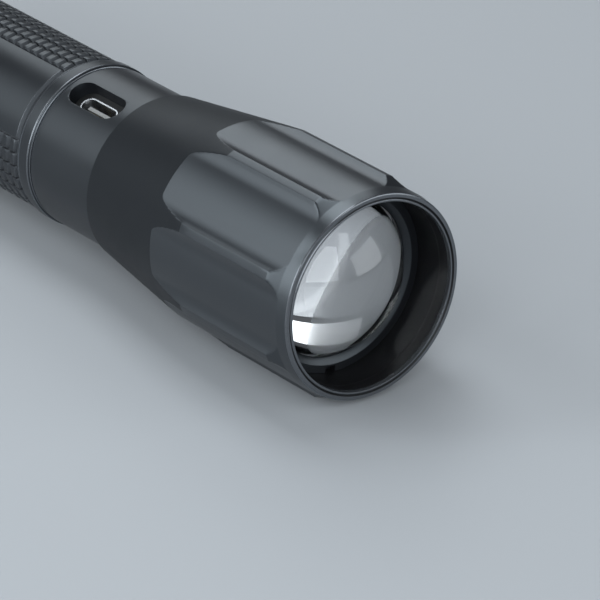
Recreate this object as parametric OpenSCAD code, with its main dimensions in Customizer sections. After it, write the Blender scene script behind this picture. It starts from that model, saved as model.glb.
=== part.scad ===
// Zoom torch: a fluted head slides back over the tube to spread the beam and to cover the
// charging port. One rechargeable cell sits in a knurled grip behind a screw-off tail cap.
// Millimetres. The torch lies along X, its light goes toward +X, and +Z is up.
// Stations are measured backward from the front plane of the rim, radii from the torch's axis.

/* [Cell and tube] */
// Diameter of the rechargeable cell
cell_d = 21.2; // [17:0.1:26.5]
// Length of the cell with its front terminal
cell_len = 70.2; // [50:0.1:85]
// Wall between the bore for the cell and the outside of the tube
tube_wall = 3.55; // [3.2:0.05:5]

/* [Head] */
// How far the ridges of the head stand out past the tube
head_flare = 4.8; // [4.5:0.1:8]
// Length of the head from the rim to the rear edge of the neck
head_len = 57.8; // [52:0.1:75]
// Station where the ridges end and the cone of the neck starts
ridge_end = 28; // [20:0.5:34]
// Station where the ridges start behind the flared nose
nose_len = 5; // [4:0.1:7]
// Length of the plain band behind the rim
rim_len = 2.5; // [1:0.1:3.5]
// Number of flutes round the head
flute_count = 8; // [8:2:12]
// Width of the narrow land on top of a ridge
land_w = 1.5; // [0.8:0.1:2.5]
// Height of a ridge above the round floor of a flute
ridge_h = 1.1; // [0.8:0.05:1.4]
// Width of a ridge's hollow flank, along the floor of the flute
flank_w = 2.6; // [1.5:0.1:3]

/* [Lens] */
// Depth of the lens ring behind the rim
lens_recess = 8.6; // [8.5:0.1:12]
// Height of the clear dome in front of the lens ring
dome_h = 8.1; // [4:0.1:8.4]
// Thickness of the flange that holds the lens
flange_t = 2.4; // [1.5:0.1:4]

/* [Zoom] */
// How far the head slides back over the tube
zoom_travel = 17; // [8:0.5:20]
// Length of the guide at the front of the inner barrel
guide_len = 6.1; // [4.5:0.1:9]
// Length of the bush at the rear of the head
bush_len = 10.8; // [8:0.1:14]

/* [Charging port] */
// Length of the slot along the tube
port_l = 13.2; // [11:0.1:14.5]
// Width of the slot across the tube
port_w = 5.3; // [4.6:0.1:7]
// Turn of the slot from straight up
port_turn = -23.7; // [-180:0.1:180]
// Depth of the socket's mouth below the tube's surface
port_depth = 1.95; // [0.8:0.05:2.3]
// Shift of the socket off the slot's middle line, round the tube
port_shift = 0.5; // [0:0.05:0.6]

/* [Grip] */
// Number of knurled panels round the grip
panel_count = 3; // [2:1:4]
// Rows of blocks in one panel
panel_rows = 6; // [3:1:8]
// Pitch of the rows round the tube, in degrees
row_pitch = 10; // [6:0.5:12]
// Pitch of the blocks along the tube
block_pitch = 2.15; // [1.6:0.05:4]
// Height of a block above the bare tube
block_h = 0.55; // [0.3:0.05:0.8]
// Turn of the first panel's middle from straight up
panel_turn = 15; // [0:1:360]

/* [Tail] */
// Diameter of the push button
button_d = 14.4; // [11:0.1:15]
// How far the push button goes in
button_travel = 1.7; // [1:0.1:2.5]
// Height of the two lugs beside the push button
lug_h = 5.2; // [4.6:0.1:8]
// Diameter of the lanyard hole in each lug
lanyard_d = 3; // [2:0.1:3.2]
// Number of flutes round the tail cap
cap_flutes = 12; // [6:1:16]

/* [Fits] */
// Clearance on the radius of a fit that slides or turns
run_fit = 0.05; // [0.03:0.01:0.08]
// Clearance on the radius of a fit that stays put
seat_fit = 0.03; // [0.02:0.01:0.06]
// Open gap between parts that move against each other
free_gap = 0.4; // [0.3:0.05:0.6]

/* [Hidden] */
$fn = 96;

// Tube
tube_bore_r = cell_d / 2 + 0.4;
tube_r = tube_bore_r + tube_wall;
band_r = tube_r + 0.3;
core_r = tube_bore_r + 0.5;

// Head
head_r = tube_r + head_flare;
floor_r = head_r - ridge_h;
rim_r = floor_r - 0.25;
flank_span = flank_w / floor_r * 180 / PI;
floor_half = 180 / flute_count - asin(land_w / 2 / head_r) - flank_span;
flank_r = (head_r * head_r + floor_r * floor_r - 2 * head_r * floor_r * cos(flank_span))
  / (2 * (head_r * cos(flank_span) - floor_r));
lens_bore_r = rim_r - 1.6;
bezel_r = lens_bore_r + 0.65;
bezel_len = 3;
neck_r = tube_r + run_fit + 0.65;
guide_r = tube_r + 1;
chamber_r = guide_r + run_fit;
bush_front = head_len - bush_len;

// Lens and the ring that holds it
ring_front = lens_recess - 0.4;
flange_front = lens_recess + 2.6;
flange_rear = flange_front + flange_t;
chamber_front = flange_rear + 1;
dome_base_r = lens_bore_r - 3.3;
dome_r = (dome_base_r * dome_base_r + dome_h * dome_h) / (2 * dome_h);
dome_tip = lens_recess - dome_h;
dome_mid = dome_tip + dome_r;

// Inner barrel
guide_rear = bush_front - free_gap;
guide_front = guide_rear - guide_len;
pill_bore_r = core_r + 1;
pill_front = guide_front + 1.2;
pill_rear = guide_front + 12;
board_t = 1.6;
lamp_w = 5;
lamp_t = 0.8;
lamp_front = pill_front - board_t - lamp_t;
joint_s = head_len + zoom_travel + free_gap;
collar_edge = 0.6;
spigot_r = tube_r - 1.65;
spigot_end = joint_s + 9;
ring_groove = 1.2;
o_groove = 0.9;

// Charging port
port_land = 1.5;
port_s = joint_s - port_land - port_l / 2;
shell_w = 8.94;
shell_h = 3.26;
shell_len = 7.3;
shell_floor = 0.6;
shell_wall = 0.3;
tongue_w = 6.69;
tongue_t = 0.7;
gasket_t = 0.6;
charge_board_l = 18;
charge_board_w = 13;
mouth_r = tube_r - port_depth;
charge_r = mouth_r - shell_len;

// Driver and cell
driver_rear = spigot_end - 2;
driver_front = driver_rear - board_t;
cell_front = spigot_end + 2;
cell_rear = cell_front + cell_len;

// Grip
base_r = tube_r - block_h;
band_end = joint_s + 3.2;
step_end = band_end + 0.6;
knurl_start = step_end + 0.5;
grip_end = cell_rear - 3;
knurl_end = grip_end - 4.4;
block_count = floor((knurl_end - knurl_start) / block_pitch);
tail_r = tube_r - 1.9;
tail_spigot_end = grip_end + 7.6;
tail_groove = 0.85;

// Tail cap
cap_front = grip_end + free_gap;
cap_bore_r = tail_r + run_fit;
module_r = cap_bore_r - 0.7;
module_front = tail_spigot_end + 0.6;
switch_ring_front = module_front + 0.2;
switch_front = switch_ring_front + 1.8;
holder_front = switch_front + board_t;
holder_rear = holder_front + 4.2;
pressed_flange = 1.3;
pocket_r = button_d / 2 + 2.4;
pocket_rear = holder_rear + button_travel + pressed_flange + 2 * free_gap;
cap_base = pocket_rear + 1.6;
cap_end = cap_base + lug_h;
plunger_r = 2;
switch_r = 5.8;

// Rear spring of the cell
coil_wire = 0.42;
coil_turns = 4;
coil_rings = 8 * coil_turns;
coil_lead = 0.06;
coil_r0 = 6.2;
coil_r1 = 4.2;
coil_s0 = switch_front - coil_wire;
coil_s1 = cell_rear + free_gap + coil_wire;

// Length of the torch; its middle lies at the origin
total_len = cap_end;

// Lays a part drawn along its own Z, front first, along the torch's axis
module lay() {
  translate([total_len / 2, 0, 0]) rotate([0, -90, 0]) children();
}

// Turned part from pairs of radius and station
module turned(points) {
  rotate_extrude() polygon(points);
}

// Disc between two stations
module disc(r, s0, s1) {
  translate([0, 0, s0]) cylinder(r = r, h = s1 - s0);
}

// Ring between two radii and two stations
module ring(r0, r1, s0, s1) {
  turned([[r0, s0], [r1, s0], [r1, s1], [r0, s1]]);
}

// Round sealing ring at a mean radius and station
module o_ring(mid_r, thick_r, s) {
  translate([0, 0, s]) rotate_extrude() translate([mid_r, 0]) circle(r = thick_r, $fn = 32);
}

// Faces a part outward at a station and turn: its Z runs out from the axis, its X along the tube
module outward(s, turn) {
  translate([0, 0, s]) rotate([0, 0, turn]) rotate([0, 90, 0]) children();
}

// Long hole with round ends
module stadium(l, w) {
  square([l - w, w], center = true);
  for (side = [-1, 1]) translate([side * (l - w) / 2, 0]) circle(d = w);
}

// Quarter circle of points from one angle to another
function arc(x, y, r, a0, a1, n) =
  [for (i = [0:n]) [x + r * cos(a0 + (a1 - a0) * i / n), y + r * sin(a0 + (a1 - a0) * i / n)]];

// Section of a head flute: a round floor, and a hollow flank that climbs to the ridge on each side
module flute_section() {
  reach = 2 * head_r;
  difference() {
    polygon([[0, 0], reach * [cos(floor_half), -sin(floor_half)], reach * [cos(floor_half), sin(floor_half)]]);
    circle(r = floor_r);
  }
  for (side = [-1, 1]) rotate(side * floor_half) translate([floor_r + flank_r, 0]) circle(r = flank_r);
}

// Slice of a round milling cutter that lies beside the axis and leaves rounded flute ends
module flute_cutter(floor_r, cut_r, span, s0, s1, end0, end1) {
  inner = max(cut_r - 7, 0);
  translate([floor_r + cut_r, 0, 0]) rotate([0, 0, 180 - span]) rotate_extrude(angle = 2 * span)
    polygon(concat(
      [[inner, s0]],
      arc(cut_r - end0, s0 + end0, end0, -90, 0, 12),
      arc(cut_r - end1, s1 - end1, end1, 0, 90, 12),
      [[inner, s1]]
    ));
}

// Sliding head with its flutes, the lens bore, the chamber for the guide and the rear bush
module head_shell() {
  color([0.08, 0.085, 0.095]) lay() difference() {
    turned([
      [bezel_r + 0.2, 0], [rim_r - 0.25, 0], [rim_r, 0.25], [floor_r + 0.05, rim_len], [head_r, nose_len],
      [head_r, ridge_end], [neck_r, head_len - 0.15], [neck_r - 0.15, head_len],
      [tube_r + run_fit + 0.2, head_len], [tube_r + run_fit, head_len - 0.2],
      [tube_r + run_fit, bush_front], [chamber_r, bush_front],
      [chamber_r, chamber_front], [lens_bore_r, chamber_front],
      [lens_bore_r, bezel_len], [bezel_r, bezel_len], [bezel_r, 0.2]
    ]);
    for (i = [0:flute_count - 1]) rotate([0, 0, i * 360 / flute_count])
      translate([0, 0, rim_len / 2]) linear_extrude(head_len) flute_section();
  }
}

// Front ring of the rim, with a sloped inner edge
module bezel_ring() {
  color([0.1, 0.105, 0.115]) lay() turned([
    [bezel_r - 0.5, 0], [bezel_r - 0.2 - seat_fit, 0], [bezel_r - seat_fit, 0.2],
    [bezel_r - seat_fit, bezel_len], [lens_bore_r, bezel_len], [lens_bore_r, 0.7]
  ]);
}

// Radius of the lens's dome at a station
function dome_at(s) = sqrt(dome_r * dome_r - (dome_mid - s) * (dome_mid - s));

// Clear lens: a dome on a round flange with a flat back
module lens() {
  color([0.85, 0.9, 0.95, 0.4]) lay() union() {
    intersection() {
      translate([0, 0, dome_mid]) sphere(r = dome_r);
      disc(lens_bore_r, dome_tip - 1, flange_front + 0.2);
    }
    disc(lens_bore_r - 0.15, flange_front, flange_rear);
  }
}

// Threaded ring that holds the lens and follows its dome, with two notches for a pin spanner
module lens_ring() {
  outer = lens_bore_r - seat_fit;
  lip = ring_front + 0.95;
  inner = dome_at(lip) + free_gap;
  color([0.05, 0.05, 0.055]) lay() difference() {
    turned([
      [outer, ring_front], [inner + 1.2, ring_front], [inner, lip - 0.25],
      [inner, lip], [dome_at(flange_front) + free_gap, flange_front], [outer, flange_front]
    ]);
    for (turn = [8, 188]) rotate([0, 0, turn])
      translate([outer - 1.1, -1, ring_front - 1]) cube([3, 2, 2.2]);
  }
}

// Soft flat gasket behind the flange of the lens
module lens_gasket() {
  color([0.03, 0.03, 0.03]) lay() ring(chamber_r + 0.05, lens_bore_r - seat_fit, flange_rear, chamber_front);
}

// Inner barrel: guide, smooth collar with the port's slot, and the spigot that enters the grip
module focus_barrel() {
  guide_mid = (guide_front + guide_rear) / 2;
  seal_s = joint_s + 2.5;
  color([0.08, 0.085, 0.095]) lay() difference() {
    turned([
      [pill_bore_r, guide_front], [guide_r - 0.3, guide_front], [guide_r, guide_front + 0.3],
      [guide_r, guide_mid - 0.8], [guide_r - ring_groove, guide_mid - 0.8],
      [guide_r - ring_groove, guide_mid + 0.8], [guide_r, guide_mid + 0.8],
      [guide_r, guide_rear], [tube_r, guide_rear], [tube_r, joint_s - collar_edge],
      [tube_r - collar_edge, joint_s], [spigot_r, joint_s],
      [spigot_r, seal_s - 0.7], [spigot_r - o_groove, seal_s - 0.7],
      [spigot_r - o_groove, seal_s + 0.7], [spigot_r, seal_s + 0.7],
      [spigot_r, spigot_end], [core_r, spigot_end], [core_r, pill_rear], [pill_bore_r, pill_rear]
    ]);
    outward(port_s, port_turn) translate([0, 0, core_r - 2])
      linear_extrude(tube_r) stadium(port_l, port_w);
  }
}

// Sealing ring of the guide, which slides in the head's chamber
module focus_o_ring() {
  thick = (ring_groove - 0.02) / 2;
  color([0.03, 0.03, 0.03]) lay()
    o_ring(guide_r + 0.03 - thick, thick, (guide_front + guide_rear) / 2);
}

// Heat spreader under the lamp, a cup with its open side to the rear
module led_pill() {
  color([0.72, 0.55, 0.25]) lay() difference() {
    disc(pill_bore_r - seat_fit, pill_front, pill_rear);
    disc(pill_bore_r - 2.2, pill_front + 3, pill_rear + 1);
    for (turn = [60, 240]) rotate([0, 0, turn]) translate([6.5, 0, 0]) disc(0.9, pill_front - 1, pill_rear);
  }
}

// Round board that carries the lamp
module led_board() {
  color([0.85, 0.85, 0.83]) lay() disc(pill_bore_r - 1.5, pill_front - board_t, pill_front);
}

// Square base of the lamp
module led_package() {
  color([0.9, 0.88, 0.8]) lay()
    translate([-lamp_w / 2, -lamp_w / 2, lamp_front]) cube([lamp_w, lamp_w, lamp_t]);
}

// Clear dome of the lamp
module led_dome() {
  color([0.95, 0.85, 0.3]) lay() intersection() {
    translate([0, 0, lamp_front]) sphere(r = 0.4 * lamp_w);
    disc(lamp_w, lamp_front - lamp_w, lamp_front);
  }
}

// Black plate that centres the lamp on its board
module led_cover() {
  plate_t = 1.2;
  hole_r = 0.8 * lamp_w;
  front = pill_front - board_t - plate_t;
  color([0.04, 0.04, 0.045]) lay() turned([
    [hole_r + plate_t, front], [pill_bore_r - 0.4, front], [pill_bore_r - 0.1, front + 0.3],
    [pill_bore_r - 0.1, front + plate_t], [hole_r, front + plate_t], [hole_r, front + 0.8]
  ]);
}

// Moulded carrier that fills the lower part of the barrel and bears the charging board
module board_carrier() {
  start = pill_rear + 1.5;
  color([0.12, 0.12, 0.13]) lay() difference() {
    disc(core_r - seat_fit, start, driver_front);
    rotate([0, 0, port_turn]) translate([charge_r - board_t, -50, start - 1]) cube([100, 100, 100]);
    rotate([0, 0, port_turn]) translate([-core_r / 2, 0, 0]) disc(2.2, start - 1, driver_front + 1);
  }
}

// Charging board, flat on the carrier under the socket
module charge_board() {
  color([0.05, 0.25, 0.12]) lay() outward(port_s, port_turn)
    translate([-charge_board_l / 2, -charge_board_w / 2, charge_r - board_t])
      cube([charge_board_l, charge_board_w, board_t]);
}

// Metal shell of the charging socket, open outward and closed at the board
module usb_shell() {
  color([0.75, 0.76, 0.78]) lay() outward(port_s, port_turn) translate([0, -port_shift, charge_r]) difference() {
    linear_extrude(shell_len) stadium(shell_w, shell_h);
    translate([0, 0, shell_floor]) linear_extrude(shell_len)
      stadium(shell_w - 2 * shell_wall, shell_h - 2 * shell_wall);
  }
}

// Contact tongue inside the socket
module usb_tongue() {
  color([0.6, 0.6, 0.6]) lay() outward(port_s, port_turn)
    translate([-tongue_w / 2, -tongue_t / 2 - port_shift, charge_r + shell_floor])
      cube([tongue_w, tongue_t, shell_len - shell_floor - 1]);
}

// Soft surround that closes the slot round the socket
module port_gasket() {
  color([0.03, 0.03, 0.03]) lay() outward(port_s, port_turn)
    translate([0, 0, core_r - 0.2]) linear_extrude(gasket_t) difference() {
      stadium(port_l - 0.1, port_w - 0.1);
      translate([0, -port_shift]) stadium(shell_w + 2 * seat_fit, shell_h + 2 * seat_fit);
    }
}

// Driver board across the barrel, against the rear of the carrier
module driver_board() {
  color([0.05, 0.2, 0.1]) lay() disc(core_r - seat_fit, driver_front, driver_rear);
}

// Threaded ring that holds the driver board
module driver_ring() {
  color([0.72, 0.55, 0.25]) lay() difference() {
    ring(core_r - 2.5, core_r - seat_fit, driver_rear, spigot_end);
    for (turn = [0, 180]) rotate([0, 0, turn])
      translate([core_r - 1.4, -1, spigot_end - 1]) cube([3, 2, 2]);
  }
}

// Front contact of the cell
module contact_post() {
  tip = cell_front - free_gap;
  color([0.8, 0.65, 0.3]) lay()
    turned([[0, driver_rear], [3.4, driver_rear], [3.4, tip - 1], [2.6, tip], [0, tip]]);
}

// Sealing ring between the inner barrel and the grip
module barrel_o_ring() {
  thick = (o_groove - 0.04) / 2;
  color([0.03, 0.03, 0.03]) lay() o_ring(spigot_r - thick, thick, joint_s + 2.5);
}

// One row of blocks of the knurl, turned as a strip with sloped cuts between the blocks
module knurl_row() {
  top = block_pitch * 0.52;
  low = base_r + 0.06;
  strip = row_pitch * 0.86;
  rotate([0, 0, -strip / 2]) rotate_extrude(angle = strip) polygon(concat(
    [[base_r - 0.5, knurl_start]],
    [for (i = [0:block_count - 1], p = [[low, 0.12], [tube_r, 0.12 + (block_pitch - top) / 2 - 0.12],
        [tube_r, (block_pitch + top) / 2], [low, block_pitch - 0.12]])
      [p[0], knurl_start + i * block_pitch + p[1]]],
    [[base_r - 0.5, knurl_start + block_count * block_pitch]]
  ));
}

// Grip: bare tube, knurled panels, smooth bands between them and the spigot for the tail cap
module grip_tube() {
  row0 = -(panel_rows - 1) / 2 * row_pitch;
  band_angle = 360 / panel_count - panel_rows * row_pitch;
  seal_s = grip_end + 2.4;
  back = knurl_start + block_count * block_pitch;
  color([0.08, 0.085, 0.095]) lay() union() {
    turned([
      [spigot_r + seat_fit, joint_s], [band_r - 0.4, joint_s], [band_r, joint_s + 0.4],
      [band_r, band_end - 0.3], [tube_r, band_end], [tube_r, step_end],
      [base_r, step_end + 0.3], [base_r, back + 0.8], [tube_r - 0.1, back + 1.4],
      [tube_r, back + 1.5], [tube_r, grip_end - 0.4], [tube_r - 0.4, grip_end],
      [tail_r, grip_end], [tail_r, seal_s - 0.65], [tail_r - tail_groove, seal_s - 0.65],
      [tail_r - tail_groove, seal_s + 0.65], [tail_r, seal_s + 0.65],
      [tail_r, tail_spigot_end - 0.4], [tail_r - 0.4, tail_spigot_end],
      [tube_bore_r, tail_spigot_end], [tube_bore_r, spigot_end + 0.2],
      [spigot_r + seat_fit, spigot_end + 0.2]
    ]);
    for (k = [0:panel_count - 1]) rotate([0, 0, panel_turn + k * 360 / panel_count]) {
      for (j = [0:panel_rows - 1]) rotate([0, 0, row0 + j * row_pitch]) knurl_row();
      rotate([0, 0, 180 / panel_count - band_angle / 2 + 0.7]) rotate_extrude(angle = band_angle - 1.4)
        polygon([[base_r - 0.5, knurl_start], [base_r, knurl_start], [tube_r - 0.2, knurl_start + 0.6],
          [tube_r - 0.2, back - 0.6], [base_r, back], [base_r - 0.5, back]]);
    }
  }
}

// Sealing ring of the tail cap's thread
module tail_o_ring() {
  thick = (tail_groove - 0.02) / 2;
  color([0.03, 0.03, 0.03]) lay() o_ring(tail_r + 0.02 - thick, thick, grip_end + 2.4);
}

// Wrapped can of the cell
module cell_body() {
  front = cell_front + 1.4;
  color([0.15, 0.35, 0.6]) lay() turned([
    [0, front], [cell_d / 2 - 0.8, front], [cell_d / 2, front + 0.8],
    [cell_d / 2, cell_rear - 0.5], [cell_d / 2 - 0.5, cell_rear], [0, cell_rear]
  ]);
}

// Raised front terminal of the cell
module cell_terminal() {
  color([0.75, 0.75, 0.75]) lay() turned([
    [0, cell_front], [3.6, cell_front], [4.2, cell_front + 0.5], [4.2, cell_front + 1.4], [0, cell_front + 1.4]
  ]);
}

// Tail cap with its thread bore, switch bore, button pocket, flutes and two lugs with lanyard holes
module tail_cap() {
  lug_in_r = pocket_r + 0.8;
  color([0.08, 0.085, 0.095]) lay() difference() {
    turned([
      [cap_bore_r + 0.3, cap_front], [band_r - 0.4, cap_front], [band_r, cap_front + 0.4],
      [band_r, cap_base - 1.2], [band_r - 0.6, cap_base], [band_r - 0.6, cap_end - 0.5],
      [band_r - 1.1, cap_end], [lug_in_r + 0.3, cap_end], [lug_in_r, cap_end - 0.3], [lug_in_r, cap_base],
      [button_d / 2 + run_fit + 0.4, cap_base], [button_d / 2 + run_fit, cap_base - 0.4],
      [button_d / 2 + run_fit, pocket_rear], [pocket_r, pocket_rear],
      [pocket_r, holder_rear], [module_r, holder_rear], [module_r, module_front],
      [cap_bore_r, module_front], [cap_bore_r, cap_front + 0.3]
    ]);
    for (i = [0:cap_flutes - 1]) rotate([0, 0, (i + 0.5) * 360 / cap_flutes])
      flute_cutter(band_r - 0.7, 3.4, 80, cap_front + 3.2, cap_base - 2.4, 1.6, 1.6);
    translate([-50, -pocket_r + 1, cap_base]) cube([100, 2 * pocket_r - 2, lug_h + 1]);
    translate([0, 0, cap_base + lug_h / 2]) rotate([90, 0, 0])
      cylinder(d = lanyard_d, h = 2 * band_r + 2, center = true);
  }
}

// Middle of the rear spring's wire, from its rear end at 0 to its front end at 1
function coil_mid(t) = let(
    u = min(max((t - coil_lead) / (1 - 2 * coil_lead), 0), 1),
    r = coil_r0 + (coil_r1 - coil_r0) * u)
  [r * cos(360 * coil_turns * t), r * sin(360 * coil_turns * t), coil_s0 + (coil_s1 - coil_s0) * u];

// Least gap of the spring's wire to itself, over points that lie most of a turn or more apart
function coil_gap(n) = min([for (i = [0:n], j = [i + ceil(0.6 * n / coil_turns):1:n])
    norm(coil_mid(i / n) - coil_mid(j / n))]) - 2 * coil_wire;

// Rear spring of the cell, one wire wound as a cone with its end curls lying flat
module tail_spring() {
  echo("rear spring, least gap to itself in mm", coil_gap(160));
  mids = [for (i = [0:coil_rings]) coil_mid(i / coil_rings)];
  points = [for (i = [0:coil_rings], k = [0:5]) let(
      a = 360 * coil_turns * i / coil_rings, out = coil_wire * cos(60 * k), up = coil_wire * sin(60 * k))
    mids[i] + [out * cos(a), out * sin(a), up]];
  sides = [for (i = [0:coil_rings - 1], k = [0:5]) let(a = 6 * i + k, b = 6 * i + (k + 1) % 6)
    each [[a, b, b + 6], [a, b + 6, a + 6]]];
  caps = [[5, 4, 3, 2, 1, 0], [for (k = [0:5]) 6 * coil_rings + k]];
  color([0.75, 0.76, 0.78]) lay() polyhedron(points, concat(sides, caps));
}

// Board of the switch, which also takes the rear spring
module switch_board() {
  color([0.05, 0.2, 0.1]) lay() disc(module_r - seat_fit, switch_front, holder_front);
}

// Switch, with a bore for its plunger
module switch_body() {
  color([0.08, 0.08, 0.09]) lay() difference() {
    disc(switch_r, holder_front, holder_rear);
    disc(plunger_r + run_fit, holder_front + 0.5, holder_rear + 1);
  }
}

// Moulded holder that fills the bore round the switch
module switch_holder() {
  color([0.15, 0.15, 0.16]) lay() ring(switch_r + seat_fit, module_r - seat_fit, holder_front, holder_rear);
}

// Threaded ring that holds the switch board, with two spanner notches
module switch_ring() {
  color([0.72, 0.55, 0.25]) lay() difference() {
    ring(module_r - 3.6, module_r - seat_fit, switch_ring_front, switch_front);
    for (turn = [0, 180]) rotate([0, 0, turn])
      translate([module_r - 1.4, -1, switch_ring_front - 1]) cube([3, 2, 2]);
  }
}

// Plunger of the switch, which the push button drives
module switch_plunger() {
  color([0.85, 0.85, 0.8]) lay()
    disc(plunger_r, holder_front + 0.5 + free_gap + button_travel, holder_rear + 3);
}

// Soft push button with a flange inside the cap and a low dome outside
module tail_button() {
  flange_rear = pocket_rear - free_gap;
  flange_front = flange_rear - pressed_flange;
  button_r = button_d / 2;
  edge = cap_base + 0.5;
  dome = 1.8;
  round_r = (button_r * button_r + dome * dome) / (2 * dome);
  color([0.03, 0.03, 0.03]) lay() difference() {
    union() {
      disc(pocket_r - free_gap, flange_front, flange_rear);
      intersection() {
        disc(button_r, flange_front, edge + dome + 1);
        translate([0, 0, edge + dome - round_r]) sphere(r = round_r);
      }
    }
    ring(plunger_r + 0.6, button_r - 1.4, flange_front - 1, cap_base - 0.4);
    disc(plunger_r + 1, flange_front - 1, holder_rear + 3);
  }
}

head_shell();
bezel_ring();
lens();
lens_ring();
lens_gasket();
focus_barrel();
focus_o_ring();
led_pill();
led_board();
led_package();
led_dome();
led_cover();
board_carrier();
charge_board();
usb_shell();
usb_tongue();
port_gasket();
driver_board();
driver_ring();
contact_post();
barrel_o_ring();
grip_tube();
tail_o_ring();
cell_body();
cell_terminal();
tail_cap();
tail_spring();
switch_board();
switch_body();
switch_holder();
switch_ring();
switch_plunger();
tail_button();
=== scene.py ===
"""Studio scene of a zoom torch: a fluted sliding head, a knurled grip and a push-button tail.

The torch lies along X with its light toward +X. Stations are distances behind the rim's front
plane and radii are measured from the torch's axis, both in metres.
"""

import logging
import math
from dataclasses import dataclass
from enum import Enum, IntEnum
from typing import Callable, Iterable

import bmesh
import bpy
from mathutils import Matrix, Vector


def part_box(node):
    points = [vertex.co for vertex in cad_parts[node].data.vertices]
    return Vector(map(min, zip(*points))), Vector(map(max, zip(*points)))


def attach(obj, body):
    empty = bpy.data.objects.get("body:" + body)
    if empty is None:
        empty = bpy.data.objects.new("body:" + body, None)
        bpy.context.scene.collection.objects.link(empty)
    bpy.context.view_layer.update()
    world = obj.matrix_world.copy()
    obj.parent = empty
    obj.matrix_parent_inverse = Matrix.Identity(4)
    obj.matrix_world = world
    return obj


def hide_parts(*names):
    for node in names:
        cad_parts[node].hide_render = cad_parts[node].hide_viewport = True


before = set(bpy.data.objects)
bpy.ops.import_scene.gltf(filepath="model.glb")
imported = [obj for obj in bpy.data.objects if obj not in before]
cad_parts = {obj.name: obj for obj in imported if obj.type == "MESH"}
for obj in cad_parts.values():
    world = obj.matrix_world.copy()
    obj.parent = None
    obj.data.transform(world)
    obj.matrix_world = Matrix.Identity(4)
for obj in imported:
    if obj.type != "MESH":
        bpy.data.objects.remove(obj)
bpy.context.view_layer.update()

LOG = logging.getLogger("zoom_torch")
MM = 0.001
CAD_MERGE = 0.002 * MM
CAD_FLAT = math.radians(0.2)
SPIN_MERGE = 0.001 * MM
SPIN_SLIVER = 0.0005 * MM
SKIN_SLACK = 0.02 * MM
# An uneven direction, so that few corners share a place along it.
SORT_LINE = Vector((0.7310, 0.5170, 0.4460))
AXIS = Vector((1.0, 0.0, 0.0))
ORIGIN = Vector((0.0, 0.0, 0.0))
Colour = tuple[float, float, float]
Profile = list[tuple[float, float]]
EdgeTest = Callable[[bmesh.types.BMEdge], bool]


class Body(Enum):
    """The moving bodies that carry pieces built here."""

    BARREL = "barrel"
    HEAD = "head"
    TAIL = "tail"
    BUTTON = "button"


class Grain(Enum):
    """How a finish is roughened at close range."""

    SPECKLED = "speckled"
    TURNED = "turned"


class ShellFace(IntEnum):
    """Material numbers on the head's shell."""

    NECK = 0
    FLUTE = 1
    BORE = 2
    # Chamber wall behind the lens, painted near white as painted light.
    BEHIND_LENS = 3
    RIM_EDGE = 4


class RimFace(IntEnum):
    """Material numbers on the rim's front ring."""

    FRONT = 0
    INSIDE = 1


class CollarFace(IntEnum):
    """Material numbers on the inner barrel."""

    OUTSIDE = 0
    INSIDE = 1
    REAR_EDGE = 2


class GripFace(IntEnum):
    """Material numbers on the grip."""

    OUTSIDE = 0
    BORE = 1
    EDGE = 2
    GROOVE = 3


class NodeSketch:
    """Short-hand for laying out a shader tree."""

    def __init__(self, tree: bpy.types.NodeTree) -> None:
        """Keeps the tree that later calls add to."""
        self.tree = tree

    def add(self, kind: str, **settings: object) -> bpy.types.Node:
        """Adds a node and sets its properties or its input values.

        Args:
            kind: the node's type name without its ShaderNode prefix.
            settings: node properties, or input socket names with spaces as underscores.

        Returns:
            The new node.
        """
        prefix = "" if kind.startswith("Node") else "ShaderNode"
        node = self.tree.nodes.new(prefix + kind)
        for key, value in settings.items():
            if hasattr(node, key):
                setattr(node, key, value)
            else:
                node.inputs[key.replace("_", " ")].default_value = value
        return node

    def link(self, source: bpy.types.NodeSocket, target: bpy.types.NodeSocket) -> None:
        """Joins an output to an input."""
        self.tree.links.new(source, target)


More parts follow.
